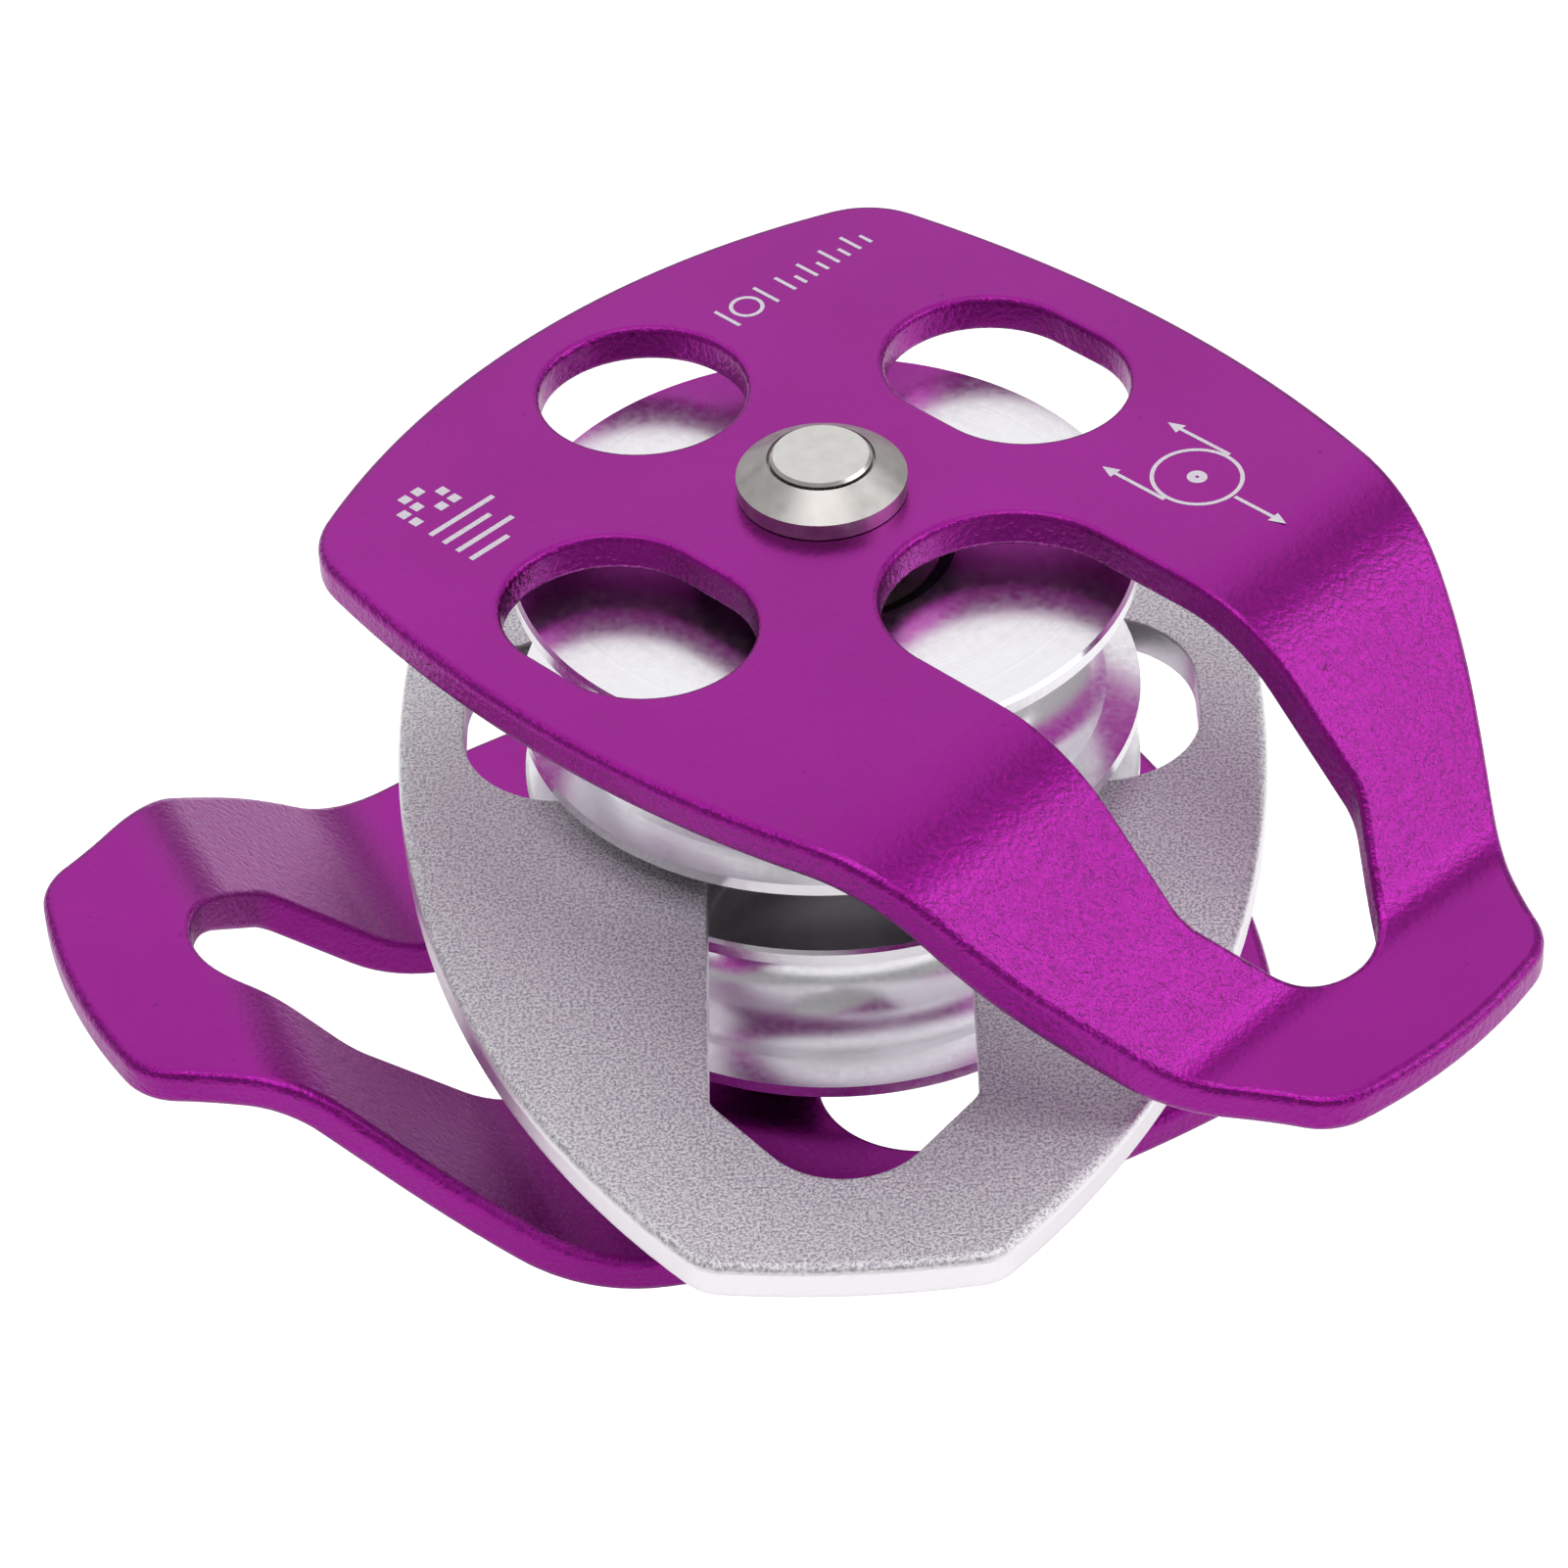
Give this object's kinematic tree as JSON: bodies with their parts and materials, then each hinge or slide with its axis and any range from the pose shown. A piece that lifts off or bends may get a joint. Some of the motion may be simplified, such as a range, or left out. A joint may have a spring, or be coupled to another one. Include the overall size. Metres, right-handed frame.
{
  "type": "double rope pulley",
  "caption": "Double rope pulley with swinging joggled side plates, a flat centre plate and two grooved ball-bearing sheaves on one axle.",
  "frame": {"origin": "centre of the lower end of the axle", "axes": "+Z along the axle, -Y towards the attachment eye of the centre plate, +X to the right when looking along +Y"},
  "size_m": [0.1443, 0.1288, 0.067],
  "materials": {
    "side_plate_anodised": "purple anodised over a fine blasted skin",
    "centre_plate_clear_anodised": "clear anodised over a coarse bead-blasted skin",
    "sheave_aluminium": "fine turned and polished",
    "cap_steel": "satin turned stainless steel",
    "axle_steel": "ground stainless steel",
    "spacer_steel": "turned stainless steel",
    "bush_bronze": "plain bearing bronze",
    "bearing_steel": "ground bearing steel",
    "cage_brass": "machined brass",
    "bearing_shield": "pressed steel",
    "spring_steel": "phosphated spring steel"
  },
  "bodies": {
    "root": {"centre_plate": "centre_plate_clear_anodised", "axle": "axle_steel", "upper_axle_cap": "cap_steel", "upper_plate_bush": "bush_bronze", "upper_inner_spacer": "spacer_steel", "upper_outer_spacer": "spacer_steel", "upper_inboard_bearing_inner_race": "bearing_steel", "upper_outboard_bearing_inner_race": "bearing_steel", "lower_axle_cap": "cap_steel", "lower_plate_bush": "bush_bronze", "lower_inner_spacer": "spacer_steel", "lower_outer_spacer": "spacer_steel", "lower_inboard_bearing_inner_race": "bearing_steel", "lower_outboard_bearing_inner_race": "bearing_steel"},
    "upper_side_plate": {"upper_side_plate": "side_plate_anodised"},
    "upper_sheave": {"upper_sheave": "sheave_aluminium", "upper_retaining_ring": "spring_steel", "upper_inboard_bearing_outer_race": "bearing_steel", "upper_inboard_bearing_shields": "bearing_shield", "upper_outboard_bearing_outer_race": "bearing_steel", "upper_outboard_bearing_shields": "bearing_shield"},
    "upper_inboard_cage": {"upper_inboard_bearing_cage": "cage_brass", "upper_inboard_bearing_balls": "bearing_steel"},
    "upper_outboard_cage": {"upper_outboard_bearing_cage": "cage_brass", "upper_outboard_bearing_balls": "bearing_steel"},
    "lower_side_plate": {"lower_side_plate": "side_plate_anodised"},
    "lower_sheave": {"lower_sheave": "sheave_aluminium", "lower_retaining_ring": "spring_steel", "lower_inboard_bearing_outer_race": "bearing_steel", "lower_inboard_bearing_shields": "bearing_shield", "lower_outboard_bearing_outer_race": "bearing_steel", "lower_outboard_bearing_shields": "bearing_shield"},
    "lower_inboard_cage": {"lower_inboard_bearing_cage": "cage_brass", "lower_inboard_bearing_balls": "bearing_steel"},
    "lower_outboard_cage": {"lower_outboard_bearing_cage": "cage_brass", "lower_outboard_bearing_balls": "bearing_steel"}
  },
  "joints": [
    {"name": "upper_plate_swing", "type": "hinge", "parent": "root", "child": "upper_side_plate", "pos_m": [0, 0, 0.0608], "axis": [0, 0, 1], "continuous": true},
    {"name": "upper_sheave_spin", "type": "hinge", "parent": "root", "child": "upper_sheave", "pos_m": [0, 0, 0.0467], "axis": [0, 0, 1], "continuous": true},
    {"name": "upper_inboard_cage_spin", "type": "hinge", "parent": "root", "child": "upper_inboard_cage", "pos_m": [0, 0, 0.0427], "axis": [0, 0, 1], "continuous": true},
    {"name": "upper_outboard_cage_spin", "type": "hinge", "parent": "root", "child": "upper_outboard_cage", "pos_m": [0, 0, 0.0507], "axis": [0, 0, 1], "continuous": true},
    {"name": "lower_plate_swing", "type": "hinge", "parent": "root", "child": "lower_side_plate", "pos_m": [0, 0, 0.0062], "axis": [0, 0, 1], "continuous": true},
    {"name": "lower_sheave_spin", "type": "hinge", "parent": "root", "child": "lower_sheave", "pos_m": [0, 0, 0.0203], "axis": [0, 0, 1], "continuous": true},
    {"name": "lower_inboard_cage_spin", "type": "hinge", "parent": "root", "child": "lower_inboard_cage", "pos_m": [0, 0, 0.0243], "axis": [0, 0, 1], "continuous": true},
    {"name": "lower_outboard_cage_spin", "type": "hinge", "parent": "root", "child": "lower_outboard_cage", "pos_m": [0, 0, 0.0163], "axis": [0, 0, 1], "continuous": true}
  ],
  "couplings": [
    {"joint": "upper_inboard_cage_spin", "follows": "upper_sheave_spin", "ratio": 0.6322},
    {"joint": "upper_outboard_cage_spin", "follows": "upper_sheave_spin", "ratio": 0.6322},
    {"joint": "lower_inboard_cage_spin", "follows": "lower_sheave_spin", "ratio": 0.6322},
    {"joint": "lower_outboard_cage_spin", "follows": "lower_sheave_spin", "ratio": 0.6322}
  ]
}
